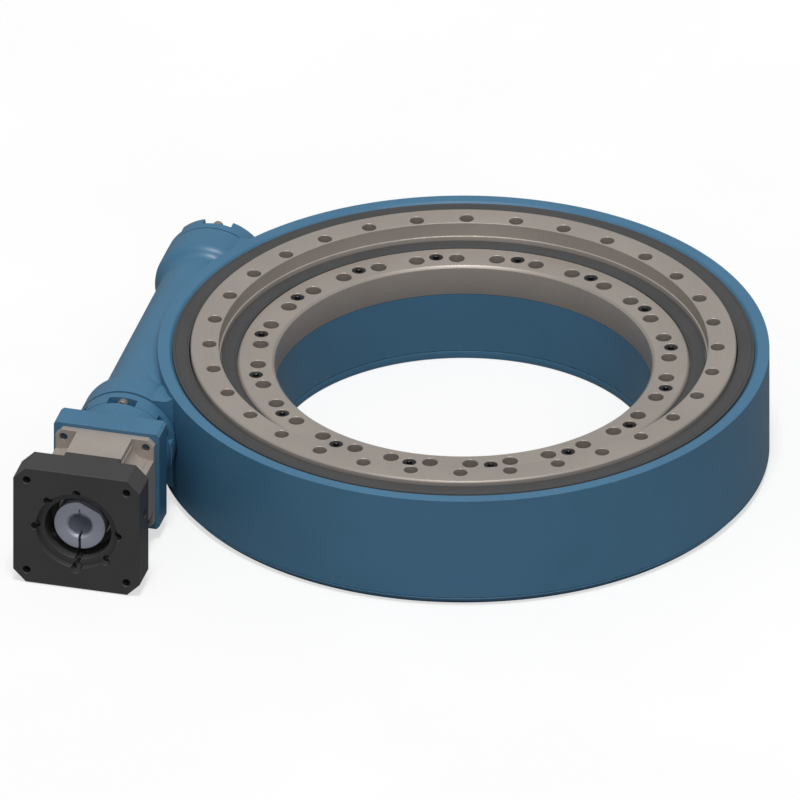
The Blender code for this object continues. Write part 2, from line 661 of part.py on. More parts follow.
for n in range(PLANETS):
    beta = 2 * math.pi * n / PLANETS
    pin = add_empty("planet_pin_%d" % (n + 1),
                    (CARRIER_R * math.cos(beta), -288.0, CARRIER_R * math.sin(beta)),
                    drive_frame)
    root_w, tip_w = tooth_widths(1.0)
    pitch_r = GEAR_MODULE * PLANET_TEETH / 2.0
    outline = gear_outline(PLANET_TEETH, pitch_r - DED, pitch_r + ADD, root_w, tip_w,
                           tooth_at=beta + math.pi + math.pi / PLANET_TEETH)
    add_piece("planet_gear_%d" % (n + 1), "gear_steel",
              mesh_of("planet_%d" % (n + 1), lambda bm, o=outline: prism(
                  bm, o, -10.0, 10.0, [circle(PIN_R + 0.7, 8)], along="Y")), pin)

# ---------------------------------------------------------------- motor adapter, clamp hub
plate = drive_piece("motor_adapter_plate", "adapter_black", lambda bm: prism(
    bm, cut_square(PLATE_HALF, PLATE_CORNER), PLATE_FRONT_Y, PLATE_BACK_Y, along="Y"))
neck = add_cutter("neck", mesh_of("neck", lambda bm: prism(
    bm, cut_square(BODY_HALF, 6.5), PLATE_BACK_Y - 5.0, NECK_BACK_Y, along="Y")), drive_frame)
boolean(plate, neck, "UNION")
boolean(plate, bpy.data.objects["cut_pockets"], "DIFFERENCE")


def plate_bore(bm):
    """Pilot recess, the space round the hub, the bearing seat and the ring gear's seat."""
    lathe(bm, [(0, -370.0), (PILOT_R, -370.0), (PILOT_R, PLATE_FRONT_Y + PILOT_DEPTH),
               (PLATE_BORE_R, PLATE_FRONT_Y + PILOT_DEPTH), (PLATE_BORE_R, -327.0),
               (28.3, -327.0), (28.3, -309.0), (38.2, -309.0), (38.2, -280.0),
               (0, -280.0)], 24, along="Y")


def plate_holes(bm):
    """Motor bolt holes, the small pockets at the pilot's edge, and the groove below."""
    for sx in (-1, 1):
        for sz in (-1, 1):
            cylinder(bm, 4.0, -370.0, -338.0, 8, "Y", (PLATE_BOLT * sx, 0, PLATE_BOLT * sz))
    for deg, radius in ((0, 4.2), (90, 4.2), (135, 4.2), (180, 4.2), (270, 5.4), (315, 4.2)):
        a = math.radians(deg)
        cylinder(bm, radius, -370.0, -349.0, 8, "Y",
                 (42.4 * math.cos(a), 0, 42.4 * math.sin(a)))


ACCESS_Y, ACCESS_Z, ACCESS_R = PLATE_FRONT_Y + 20.0, 18.5, 5.5


def access_holes(bm):
    """One hole in each side, to reach the hub's clamp screw, and a groove below the hub."""
    box(bm, (-3.2, -357.0, -37.4), (3.2, -327.6, -31.0))
    cylinder(bm, ACCESS_R, 20.0, 70.0, 12, "X", (0, ACCESS_Y, ACCESS_Z))
    cylinder(bm, ACCESS_R, -70.0, -20.0, 12, "X", (0, ACCESS_Y, -ACCESS_Z))


boolean(plate, add_cutter("plate_bore", mesh_of("plate_bore", plate_bore), drive_frame),
        "DIFFERENCE")
boolean(plate, add_cutter("plate_holes", mesh_of("plate_holes", plate_holes), drive_frame),
        "DIFFERENCE")
boolean(plate, add_cutter("access", mesh_of("access", access_holes), drive_frame), "DIFFERENCE")

drive_piece("access_plug", "adapter_black", lambda bm: lathe(
    bm, [(0, 56.0), (5.0, 56.0), (5.0, 64.0), (2.4, 64.0), (2.4, 61.0), (0, 61.0)], 8,
    along="X"), (0, ACCESS_Y, ACCESS_Z))

HUB_FACE_Y = PLATE_FRONT_Y + 12.4
HUB_SCREW_Y, HUB_SCREW_Z = ACCESS_Y, -18.5
clamp_hub = drive_piece("clamp_hub", "hub_steel", lambda bm: lathe(
    bm, [(SHAFT_BORE_R + 2.4, HUB_FACE_Y), (HUB_R, HUB_FACE_Y), (HUB_R, -329.0),
         (17.0, -329.0), (17.0, -303.5), (5.8, -303.5), (5.8, -312.0),
         (SHAFT_BORE_R, -312.0), (SHAFT_BORE_R, HUB_FACE_Y + 2.4)][::-1], 24, along="Y"))


HUB_FLAT_DEG = 64.0


def hub_cuts(bm):
    """The clamping slot below the bore, a relief slit above it and a balancing flat."""
    box(bm, (-1.35, -360.0, -40.0), (1.35, -334.0, -9.0))
    box(bm, (-0.8, -360.0, 9.0), (0.8, -344.0, 17.5))


def hub_screw_hole(bm):
    """Stepped hole across the slot for the clamp screw, its head on the -X side."""
    lathe(bm, [(0, -40.0), (5.2, -40.0), (5.2, -8.6), (3.4, -8.6), (3.4, 17.0), (0, 17.0)],
          8, along="X", shift=(0, HUB_SCREW_Y, HUB_SCREW_Z))


def hub_flat(bm):
    """A flat across the hub's upper right."""
    c, s = math.cos(math.radians(HUB_FLAT_DEG)), math.sin(math.radians(HUB_FLAT_DEG))
    corners = [(23.4, -40.0), (60.0, -40.0), (60.0, 40.0), (23.4, 40.0)]
    prism(bm, [(r * c - t * s, r * s + t * c) for r, t in corners], -360.0, -336.0, along="Y")


boolean(clamp_hub, add_cutter("hub_cuts", mesh_of("hub_cuts", hub_cuts), drive_frame),
        "DIFFERENCE")
boolean(clamp_hub, add_cutter("hub_screw", mesh_of("hub_screw_hole", hub_screw_hole),
                              drive_frame), "DIFFERENCE")
boolean(clamp_hub, add_cutter("hub_flat", mesh_of("hub_flat", hub_flat), drive_frame),
        "DIFFERENCE")

drive_piece("clamp_screw", "screw_black", lambda bm: lathe(
    bm, [(0, -14.6), (4.8, -14.6), (4.8, -8.9), (3.0, -8.9), (3.0, 16.0), (0, 16.0)], 8,
    along="X"), (0, HUB_SCREW_Y, HUB_SCREW_Z))
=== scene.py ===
"""Looks for the enclosed slewing ring bearing: fine surfaces and materials over the CAD frame."""
import math

import bmesh
import bpy
from mathutils import Matrix, Vector


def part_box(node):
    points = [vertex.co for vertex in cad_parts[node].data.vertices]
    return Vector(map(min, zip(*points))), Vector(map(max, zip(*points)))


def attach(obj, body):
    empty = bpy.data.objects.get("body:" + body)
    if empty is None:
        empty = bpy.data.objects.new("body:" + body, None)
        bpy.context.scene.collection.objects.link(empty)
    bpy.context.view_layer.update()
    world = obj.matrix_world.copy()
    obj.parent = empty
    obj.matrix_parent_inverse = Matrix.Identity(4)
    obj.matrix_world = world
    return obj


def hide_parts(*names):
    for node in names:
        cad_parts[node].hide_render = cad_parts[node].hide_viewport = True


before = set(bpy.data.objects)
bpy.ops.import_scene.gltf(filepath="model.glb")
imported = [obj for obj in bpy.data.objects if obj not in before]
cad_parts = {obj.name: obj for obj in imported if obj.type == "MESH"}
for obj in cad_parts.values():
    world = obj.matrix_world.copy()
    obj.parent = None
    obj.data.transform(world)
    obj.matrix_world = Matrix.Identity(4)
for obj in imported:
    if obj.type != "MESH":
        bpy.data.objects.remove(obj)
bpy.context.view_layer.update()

# ------------------------------------------------------------------ places, read from the frame
MM = 0.001
lo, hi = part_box("base_plate")
RX, RY = (lo.x + hi.x) / 2 / MM, (lo.y + hi.y) / 2 / MM          # ring axis, mm
lo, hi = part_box("motor_adapter_plate")
AX, AZ = (lo.x + hi.x) / 2 / MM, (lo.z + hi.z) / 2 / MM          # drive axis, mm
DRIVE_X = AX - RX
RING = Matrix.Translation((RX * MM, RY * MM, 0.0))
DRIVE = Matrix.Translation((AX * MM, RY * MM, AZ * MM))
TO_Y = Matrix.Rotation(math.radians(-90.0), 4, "X")
TO_X = Matrix.Rotation(math.radians(90.0), 4, "Y")

# the same driving sizes as the CAD, mm
HOUSING_R, BORE_R, LIP_Z, LIP_IN_R, CAVITY_R, HUB_OUT_R = 303.7, 187.6, 119.5, 292.4, 283.0, 222.0
SCREW_PCD, SCREWS, FIX_PCD = 415.4, 16, 408.0
TURN_PCD, TURN_HOLES, TURN_PHASE, TURN_TOP = 504.4, 32, 3.05, 123.05
END_R, TUBE_R, END_FACE = 52.8, 43.4, 167.2
FRONT_Y, PLATE_BACK, NECK_BACK, BODY_BACK, FLANGE_BACK = -360.5, -326.3, -295.0, -245.4, -216.1
SEG = 288


# ------------------------------------------------------------------ mesh helpers (mm in, metres out)
def soften(points, radius, steps=3, closed=True):
    """Round every corner of an outline; radius is one number or one for each corner."""
    out, n = [], len(points)
    for i, p in enumerate(points):
        r = radius[i] if isinstance(radius, (list, tuple)) else radius
        if r <= 0 or p[0] < 1e-6 or (not closed and i in (0, n - 1)):
            out.append(tuple(p))
            continue
        a, b, c = Vector(points[i - 1]), Vector(p), Vector(points[(i + 1) % n])
        u, v = a - b, c - b
        lu, lv = u.length, v.length
        if lu < 1e-9 or lv < 1e-9:
            out.append(tuple(p))
            continue
        u, v = u / lu, v / lv
        cosang = max(-1.0, min(1.0, u.dot(v)))
        ang = math.acos(cosang)
        if ang > math.radians(172):
            out.append(tuple(p))
            continue
        cut = min(r / math.tan(ang / 2), lu * 0.45, lv * 0.45)
        rr = cut * math.tan(ang / 2)
        centre = b + (u + v).normalized() * (rr / math.sin(ang / 2))
        s, e = b + u * cut - centre, b + v * cut - centre
        total = math.pi - ang
        sign = 1.0 if s.x * e.y - s.y * e.x > 0 else -1.0
        for k in range(steps + 1):
            t = sign * total * k / steps
            out.append((centre.x + s.x * math.cos(t) - s.y * math.sin(t),
                        centre.y + s.x * math.sin(t) + s.y * math.cos(t)))
    return out


def lathe(bm, profile, seg, matrix=Matrix(), phase=0.0):
    """Turn a closed (radius, height) loop about +Z, then place it."""
    rows, made = [], []
    phase = phase or (math.pi / SEG if seg == SEG else 0.0)
    for radius, height in profile:
        if radius < 1e-6:
            v = bm.verts.new((0.0, 0.0, height * MM))
            made.append(v)
            rows.append([v] * seg)
            continue
        row = []
        for i in range(seg):
            a = phase + 2 * math.pi * i / seg
            row.append(bm.verts.new((radius * math.cos(a) * MM, radius * math.sin(a) * MM,
                                     height * MM)))
        made += row
        rows.append(row)
    for j in range(len(rows)):
        a, b = rows[j], rows[(j + 1) % len(rows)]
        for i in range(seg):
            k = (i + 1) % seg
            quad = []
            for v in (a[i], a[k], b[k], b[i]):
                if v not in quad:
                    quad.append(v)
            if len(quad) > 2:
                bm.faces.new(quad)
    bmesh.ops.transform(bm, matrix=matrix, verts=made)
    return made


def prism(bm, outer, low, high, matrix=Matrix(), holes=(), along="Z"):
    """Extrude an outline with holes; along Y the outline's second number is height."""
    made = []
    for level in (low, high):
        edges = []
        for loop in [outer] + list(holes):
            vs = [bm.verts.new((x * MM, y * MM, level * MM)) for x, y in loop]
            made.append(vs)
            edges += [bm.edges.new((vs[i], vs[(i + 1) % len(vs)])) for i in range(len(vs))]
        bmesh.ops.triangle_fill(bm, use_beauty=True, use_dissolve=False, edges=edges)
    half = len(made) // 2
    for a, b in zip(made[:half], made[half:]):
        for i in range(len(a)):
            k = (i + 1) % len(a)
            bm.faces.new((a[i], a[k], b[k], b[i]))
    if along == "Y":
        matrix = matrix @ Matrix(((1, 0, 0, 0), (0, 0, 1, 0), (0, 1, 0, 0), (0, 0, 0, 1)))
    vs = [v for loop in made for v in loop]
    bmesh.ops.transform(bm, matrix=matrix, verts=vs)
    return vs


def stacked(bm, levels, matrix=Matrix(), along="Y"):
    """Loft outlines with the same number of points, one for each level, and cap both ends."""
    rows = []
    for outline, level in levels:
        rows.append([bm.verts.new((x * MM, y * MM, level * MM)) for x, y in outline])
    for a, b in zip(rows, rows[1:]):
        for i in range(len(a)):
            k = (i + 1) % len(a)
            bm.faces.new((a[i], a[k], b[k], b[i]))
    bm.faces.new(rows[0])
    bm.faces.new(rows[-1])
    if along == "Y":
        matrix = matrix @ Matrix(((1, 0, 0, 0), (0, 0, 1, 0), (0, 1, 0, 0), (0, 0, 0, 1)))
    bmesh.ops.transform(bm, matrix=matrix, verts=[v for r in rows for v in r])


def circle(radius, seg, cx=0.0, cy=0.0):
    return [(cx + radius * math.cos(2 * math.pi * i / seg),
             cy + radius * math.sin(2 * math.pi * i / seg)) for i in range(seg)]


def cut_square(half, cut, soft=0.0):
    a, b = half, half - cut
    pts = [(a, -b), (a, b), (b, a), (-b, a), (-a, b), (-a, -b), (-b, -a), (b, -a)]
    return soften(pts, soft, 4) if soft else pts


def inset_square(half, cut, by):
    """The cut square's outline moved in by a distance, with the same number of points."""
    return cut_square(half - by, cut - by * (2 - math.sqrt(2)))


def make(name, build):
    bm = bmesh.new()
    build(bm)
    bmesh.ops.remove_doubles(bm, verts=bm.verts[:], dist=1e-7)
    bmesh.ops.recalc_face_normals(bm, faces=bm.faces[:])
    if bm.calc_volume(signed=True) < 0:
        bmesh.ops.reverse_faces(bm, faces=bm.faces[:])
    mesh = bpy.data.meshes.new(name)
    bm.to_mesh(mesh)
    bm.free()
    obj = bpy.data.objects.new(name, mesh)
    bpy.context.scene.collection.objects.link(obj)
    return obj


def combine(obj, *steps):
    """Apply Booleans one after another, each an (operation, cutter), and drop the cutters."""
    for op, cutter in steps:
        mod = obj.modifiers.new("b", "BOOLEAN")
        mod.operation, mod.solver, mod.object = op, "MANIFOLD", cutter
        bpy.context.view_layer.update()
        done = bpy.data.meshes.new_from_object(
            obj.evaluated_get(bpy.context.evaluated_depsgraph_get()))
        obj.modifiers.clear()
        old = obj.data
        obj.data = done
        bpy.data.meshes.remove(old)
        bpy.data.objects.remove(cutter, do_unlink=True)
        bm = bmesh.new()
        bm.from_mesh(done)
        bmesh.ops.remove_doubles(bm, verts=bm.verts[:], dist=2e-6)
        bmesh.ops.dissolve_degenerate(bm, edges=bm.edges[:], dist=1e-6)
        bm.to_mesh(done)
        bm.free()
    return obj


def shade(obj, angle=28.0):
    obj.data.shade_smooth()
    obj.data.set_sharp_from_angle(angle=math.radians(angle))
    return obj


def bevel(obj, width, segments=2, angle=35.0):
    mod = obj.modifiers.new("edge", "BEVEL")
    mod.width = width * MM
    mod.segments = segments
    mod.limit_method = "ANGLE"
    mod.angle_limit = math.radians(angle)
    mod.use_clamp_overlap = True
    mod.harden_normals = True
    return obj


def place(obj, mat, slot, body, *nodes, angle=28.0):
    obj.data.materials.clear()
    obj.data.materials.append(mat)
    shade(obj, angle)
    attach(obj, body)
    if nodes:
        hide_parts(*nodes)
    return obj


DY = DRIVE @ TO_Y          # a turned shape along the drive axis, heights are y from the ring axis


# ------------------------------------------------------------------ materials, all from nodes
class Graph:
    """A short way to wire up a material."""

    def __init__(self, name):
        self.mat = bpy.data.materials.new(name)
        self.mat.use_nodes = True
        self.tree = self.mat.node_tree
        self.bsdf = self.tree.nodes["Principled BSDF"]

    def node(self, kind, **values):
        n = self.tree.nodes.new(kind)
        for key, val in values.items():
            if hasattr(n, key) and not key[0].isupper():
                setattr(n, key, val)
            else:
                n.inputs[key.replace("_", " ")].default_value = val
        return n

    def link(self, a, b):
        self.tree.links.new(a, b)

    def coords(self):
        return self.node("ShaderNodeTexCoord").outputs["Object"]

    def noise(self, scale, detail=3.0, vector=None, rough=0.5):
        n = self.node("ShaderNodeTexNoise")
        n.inputs["Scale"].default_value = scale
        n.inputs["Detail"].default_value = detail
        n.inputs["Roughness"].default_value = rough
        self.link(vector or self.coords(), n.inputs["Vector"])
        return n.outputs["Fac"]

    def span(self, value, low, high, from_low=0.0, from_high=1.0):
        n = self.node("ShaderNodeMapRange")
        for key, val in (("From Min", from_low), ("From Max", from_high),
                         ("To Min", low), ("To Max", high)):
            n.inputs[key].default_value = val
        self.link(value, n.inputs["Value"])
        return n.outputs["Result"]

    def math(self, op, a, b=None):
        n = self.node("ShaderNodeMath")
        n.operation = op
        for i, v in enumerate((a, b)):
            if v is None:
                continue
            if isinstance(v, (int, float)):
                n.inputs[i].default_value = v
            else:
                self.link(v, n.inputs[i])
        return n.outputs[0]

    def mix(self, fac, a, b):
        n = self.node("ShaderNodeMix")
        n.data_type = "RGBA"
        for key, v in ((0, fac), (6, a), (7, b)):
            if isinstance(v, (int, float)):
                n.inputs[key].default_value = v
            elif isinstance(v, tuple):
                n.inputs[key].default_value = (v[0], v[1], v[2], 1.0)
            else:
                self.link(v, n.inputs[key])
        return n.outputs[2]

    def bump(self, height, strength, distance, normal=None):
        n = self.node("ShaderNodeBump")
        n.inputs["Strength"].default_value = strength
        n.inputs["Distance"].default_value = distance
        self.link(height, n.inputs["Height"])
        if normal is not None:
            self.link(normal, n.inputs["Normal"])
        return n.outputs["Normal"]

    def set(self, **values):
        for key, v in values.items():
            socket = self.bsdf.inputs[key.replace("_", " ")]
            if isinstance(v, (int, float)):
                socket.default_value = v
            elif isinstance(v, tuple):
                socket.default_value = (v[0], v[1], v[2], 1.0) if len(v) == 3 else v
            else:
                self.link(v, socket)
        return self.mat


def dim(rgb, k):
    return tuple(c * k for c in rgb)


def from_axis(g, x, y, z=None):
    """Distance from the ring's axis (z None) or from the drive's axis, in metres."""
    sep = g.node("ShaderNodeSeparateXYZ")
    g.link(g.coords(), sep.inputs[0])
    dx = g.math("SUBTRACT", sep.outputs[0], x)
    other = g.math("SUBTRACT", sep.outputs[1 if z is None else 2], y if z is None else z)
    return g.math("SQRT", g.math("ADD", g.math("MULTIPLY", dx, dx),
                                 g.math("MULTIPLY", other, other)))


def up_facing(g):
    """1 on faces that look up, 0 on walls: dust settles there."""
    geo = g.node("ShaderNodeNewGeometry")
    sep = g.node("ShaderNodeSeparateXYZ")
    g.link(geo.outputs["Normal"], sep.inputs[0])
    return g.span(sep.outputs[2], 0.0, 1.0, 0.2, 1.0)


def paint(name, rgb):
    """Satin enamel: a fine orange peel, slow changes of tone, faint handling marks."""
    g = Graph(name)
    cloud = g.noise(9.0, 4.0)
    fleck = g.noise(420.0, 2.0)
    peel = g.noise(650.0, 1.0)
    scuff = g.noise(60.0, 6.0, rough=0.7)
    tone = g.mix(g.span(cloud, 0.0, 1.0, 0.3, 0.7), dim(rgb, 0.93), dim(rgb, 1.06))
    tone = g.mix(g.span(fleck, 0.0, 0.10, 0.45, 0.75), tone, dim(rgb, 1.6))
    rough = g.math("ADD", g.span(cloud, 0.40, 0.47, 0.3, 0.7), g.span(scuff, 0.0, 0.07, 0.5, 0.75))
    normal = g.bump(peel, 0.10, 0.0002)
    return g.set(Base_Color=tone, Roughness=rough, Normal=normal, Coat_Weight=0.12,
                 Coat_Roughness=0.30, Specular_IOR_Level=0.42)


def turned(name, rgb, axis, metal=0.35, rough=0.42, pitch=0.00045, lines=0.10):
    """Machined metal with the fine rings that a lathe tool leaves round an axis."""
    g = Graph(name)
    dist = from_axis(g, *axis)
    ring = g.math("SINE", g.math("MULTIPLY", dist, 2 * math.pi / pitch))
    wander = g.noise(35.0, 2.0)
    broad = g.math("SINE", g.math("ADD", g.math("MULTIPLY", dist, 2 * math.pi / 0.0061),
                                  g.math("MULTIPLY", wander, 1.6)))
    cloud = g.noise(12.0, 3.0)
    grain = g.noise(900.0, 2.0)
    tone = g.mix(g.span(cloud, 0.0, 1.0, 0.3, 0.7), dim(rgb, 0.95), dim(rgb, 1.05))
    tone = g.mix(g.span(broad, 0.0, lines, -1.0, 1.0), tone, dim(rgb, 0.84))
    tone = g.mix(g.span(grain, 0.0, 0.12, 0.4, 0.7), tone, dim(rgb, 1.25))
    height = g.math("ADD", g.math("MULTIPLY", ring, 0.5), g.math("MULTIPLY", grain, 0.7))
    normal = g.bump(height, 0.10, 0.00004)
    r = g.math("ADD", g.span(cloud, rough - 0.04, rough + 0.05, 0.3, 0.7),
               g.span(broad, -0.015, 0.015, -1.0, 1.0))
    return g.set(Base_Color=tone, Roughness=r, Metallic=metal, Normal=normal)


def grained(name, rgb, metal, rough, scale=700.0, depth=0.00006, var=0.06, coat=0.0):
    """Blasted, anodised or plated metal: a fine even grain and slow changes of tone."""
    g = Graph(name)
    cloud = g.noise(18.0, 4.0)
    grain = g.noise(scale, 3.0)
    tone = g.mix(g.span(cloud, 0.0, 1.0, 0.3, 0.7), dim(rgb, 1 - var), dim(rgb, 1 + var))
    tone = g.mix(g.span(grain, 0.0, 0.25, 0.35, 0.75), tone, dim(rgb, 1.35))
    r = g.span(cloud, rough - 0.05, rough + 0.05, 0.3, 0.7)
    return g.set(Base_Color=tone, Roughness=r, Metallic=metal, Coat_Weight=coat,
                 Normal=g.bump(grain, 0.12, depth))


def rubber(name, rgb):
    """Moulded rubber: fine grain, faint run marks round the ring."""
    g = Graph(name)
    dist = from_axis(g, RX * MM, RY * MM)
    run = g.math("SINE", g.math("MULTIPLY", dist, 2 * math.pi / 0.0021))
    grain = g.noise(800.0, 4.0)
    cloud = g.noise(14.0, 3.0)
    tone = g.mix(g.span(cloud, 0.0, 1.0, 0.3, 0.7), dim(rgb, 0.93), dim(rgb, 1.07))
    tone = g.mix(g.span(run, 0.0, 0.08, -1.0, 1.0), tone, dim(rgb, 0.8))
    height = g.math("ADD", grain, g.math("MULTIPLY", run, 0.12))
    return g.set(Base_Color=tone, Roughness=g.span(cloud, 0.58, 0.68, 0.3, 0.7),
                 Specular_IOR_Level=0.35, Normal=g.bump(height, 0.14, 0.00012))


BLUE = (0.058, 0.174, 0.292)
TAN = (0.408, 0.364, 0.328)
ring_axis = (RX * MM, RY * MM)
drive_axis = (AX * MM, 0.0, AZ * MM)
M_PAINT = paint("enamel_blue", BLUE)
M_RING = turned("turned_ring_steel", TAN, ring_axis)
M_FIXED = turned("turned_fixed_ring_steel", TAN, ring_axis)
M_BODY = grained("plated_gear_case", TAN, 0.30, 0.42)
M_SEAL = rubber("seal_rubber_dark", (0.065, 0.065, 0.066))
M_BLACK = grained("anodised_black", (0.050, 0.050, 0.051), 0.10, 0.50, 900.0, 0.00005, 0.08)
M_HUB = turned("ground_hub_steel", (0.455, 0.475, 0.57), drive_axis, 0.35, 0.34, 0.0003, 0.06)
M_SCREW = grained("black_oxide", (0.020, 0.020, 0.021), 0.35, 0.36, 1200.0, 0.00003)
M_BOLT = grained("plain_bolt_steel", (0.36, 0.33, 0.30), 0.6, 0.34, 1000.0, 0.00003)
M_BEARING = turned("ground_bearing_steel", (0.45, 0.45, 0.46), drive_axis, 0.85, 0.22)
M_CAGE = turned("roller_steel", (0.45, 0.45, 0.46), ring_axis, 0.85, 0.24)
M_GEAR = turned("hardened_gear_steel", (0.32, 0.32, 0.33), drive_axis, 0.85, 0.30)
M_BRONZE = turned("cut_bronze", (0.55, 0.33, 0.13), ring_axis, 0.85, 0.30)


# ------------------------------------------------------------------ ring: base plate and housing
base = make("base_plate_fine", lambda bm: lathe(bm, soften(
    [(BORE_R, 0.0), (297.7, 0.0), (HOUSING_R, 6.9), (HOUSING_R, 8.2), (BORE_R, 8.2)],
    [0.5, 0.6, 0.6, 0.7, 0.7]), SEG, RING))
place(base, M_PAINT, "housing_paint", "housing", "base_plate")

housing = make("ring_housing_fine", lambda bm: lathe(bm, soften(
    [(BORE_R, 8.5), (HOUSING_R, 8.5), (HOUSING_R, LIP_Z), (BORE_R, LIP_Z)],
    [0.7, 0.7, 0.5, 0.5]), SEG, RING))


def arc(cx, cy, r, a0, a1, n):
    return [(cx + r * math.cos(math.radians(a0 + (a1 - a0) * i / n)),
             cy + r * math.sin(math.radians(a0 + (a1 - a0) * i / n))) for i in range(n + 1)]


def shoulder():
    """Radius and y along one shoulder: a hollow curve up from the tube, then a round one."""
    side = arc(TUBE_R + 13.0, 119.0, 13.0, 180, 130.2, 8)
    return side + arc(END_R - 13.2, 138.8, 13.0, -49.8, 0, 8)[1:]


def tube_profile():
    return [(TUBE_R, 0.0)] + shoulder() + [(END_R - 0.2, 160.0), (0.0, 160.0)]


def worm_tube(bm):
    half = tube_profile()
    lathe(bm, [(r, -y) for r, y in reversed(half[1:])] + half[1:], 128, DY)


def web_outline(f=1.0):
    """The web's outline; f draws the barrel in, and lowers the web beside it, at a shoulder."""
    pts = [(x * f, y * f) for x, y in arc(0, 0, END_R, 61.0, 299.0, 60)]
    top = [(60.0, 52.8)] + arc(36.5, 60.0, 13.6, -32, -90, 8) + [(31.5, 46.4)]
    top = [(x, y * f) for x, y in top]
    return top + pts + [(x, -y) for x, y in reversed(top)]


def end_web(sign):
    def build(bm):
        rows = [((r - 0.06) / END_R, y) for r, y in shoulder()[1:]]
        rows += [(1.0, 139.0), (1.0, END_FACE)]
        rows = sorted((sign * y, f) for f, y in rows)
        stacked(bm, [(web_outline(f), y) for y, f in rows], DRIVE)
    return build


def saddle(sign):
    """The cast fillet between the ring's wall and the tube, above (+1) or below (-1)."""
    def build(bm):
        rows, n = [], 56
        for i in range(n + 1):
            y = -131.0 + 262.0 * i / n
            wall = -DRIVE_X - math.sqrt(HOUSING_R ** 2 - y * y)
            s = max(0.0, min(1.0, (abs(y) - 104.0) / 24.0))
            top = 53.0 - 7.5 * s * s * (3 - 2 * s)
            rho = (top * top - TUBE_R ** 2 + wall * wall) / (2 * (TUBE_R + wall))
            cx, cz = wall - rho, top
            a1 = math.degrees(math.atan2(-cz, -cx))
            if a1 < -180:
                a1 += 360
            pts = [(cx + (rho + 0.04) * math.cos(math.radians(a1 * k / 14.0)),
                    cz + (rho + 0.04) * math.sin(math.radians(a1 * k / 14.0)))
                   for k in range(15)]
            inner = [(cx + (rho + 6.0) * math.cos(math.radians(a1)),
                      cz + (rho + 6.0) * math.sin(math.radians(a1))),
                     (wall + 8.0, 20.0), (wall + 8.0, cz)]
            rows.append(([(x, sign * z) for x, z in pts + inner], y))
        stacked(bm, rows, DRIVE)
    return build


def ring_cavity(bm):
    lathe(bm, [(HUB_OUT_R, 20.0), (CAVITY_R, 20.0), (CAVITY_R, 111.0), (289.2, 111.0),
               (289.2, LIP_Z - LIP_IN_R + 289.2), (LIP_IN_R - 0.3, LIP_Z - 0.3),
               (LIP_IN_R + 0.2, LIP_Z - 0.06), (LIP_IN_R + 10.0, LIP_Z + 1.0),
               (LIP_IN_R + 10.0, LIP_Z + 10.0), (150.0, LIP_Z + 10.0), (150.0, 73.1),
               (HUB_OUT_R, 73.1)], SEG, RING)


def worm_space(bm):
    f = END_FACE + 0.2
    lathe(bm, [(0, -196.0), (53.8, -196.0), (53.8, -f), (40.4, -f), (40.4, -133.7),
               (34.0, -133.7), (34.0, 133.7), (40.4, 133.7), (40.4, f), (53.8, f),
               (53.8, 196.0), (0, 196.0)], 96, DY)


END_ANGLES = [math.radians(90.0 + 60.0 * n) for n in range(6)]


def rods(radius, low, high, at, seg=24):
    """Round cutters along the drive axis at a list of (x, z) places."""
    def build(bm):
        for x, z in at:
            lathe(bm, [(0, low), (radius, low), (radius, high), (0, high)], seg,
                  DRIVE @ Matrix.Translation((x * MM, 0, z * MM)) @ TO_Y)
    return build


end_places = [(46.6 * math.cos(a), 46.6 * math.sin(a)) for a in END_ANGLES]
combine(housing,
        ("UNION", make("c1", worm_tube)),
        ("UNION", make("c2", end_web(-1))),
        ("UNION", make("c3", end_web(1))),
        ("UNION", make("c4", saddle(1))),
        ("UNION", make("c5", saddle(-1))),
        ("DIFFERENCE", make("c6", ring_cavity)),
        ("DIFFERENCE", make("c7", worm_space)),
        ("DIFFERENCE", make("c8", rods(3.3, -180.0, -156.0, end_places))),
        ("DIFFERENCE", make("c9", rods(3.3, 156.0, 180.0, end_places))))
place(housing, M_PAINT, "housing_paint", "housing", "ring_housing", angle=12.0)


# ------------------------------------------------------------------ seals and the two bearing rings
outer_seal = make("outer_seal_fine", lambda bm: lathe(bm, soften(
    [(272.2, 111.4), (288.9, 111.4), (288.9, 119.0), (286.9, 119.0), (286.5, 118.5),
     (285.9, 118.5), (285.5, 119.0), (275.2, 119.0), (274.6, 118.6), (272.2, 118.3)],
    [0.3, 0.3, 0.5, 0.2, 0.15, 0.15, 0.2, 0.3, 0.3, 0.4], 2), SEG, RING))
place(outer_seal, M_SEAL, "seal_rubber", "housing", "outer_seal")
inner_seal = make("inner_seal_fine", lambda bm: lathe(bm, soften(
    [(224.7, 100.1), (240.4, 100.1), (240.4, 104.2), (238.2, 104.6), (237.6, 104.9),
     (227.6, 104.9), (227.2, 104.4), (226.6, 104.4), (226.2, 104.9), (224.7, 104.9)],
    [0.3, 0.3, 0.4, 0.3, 0.3, 0.2, 0.15, 0.15, 0.2, 0.3], 2), SEG, RING))
place(inner_seal, M_SEAL, "seal_rubber", "housing", "inner_seal")


def drilled(profile, angle, pcd, seg=40):
    """A turned cutter standing on a bolt circle."""
    x, y = pcd / 2 * math.cos(angle), pcd / 2 * math.sin(angle)
    return profile, seg, RING @ Matrix.Translation((x * MM, y * MM, 0))


def hole_profile(r, low, top, chamfer):
    return [(0, low), (r, low), (r, top - chamfer), (r + chamfer + 1.0, top + 1.0),
            (0, top + 1.0)]


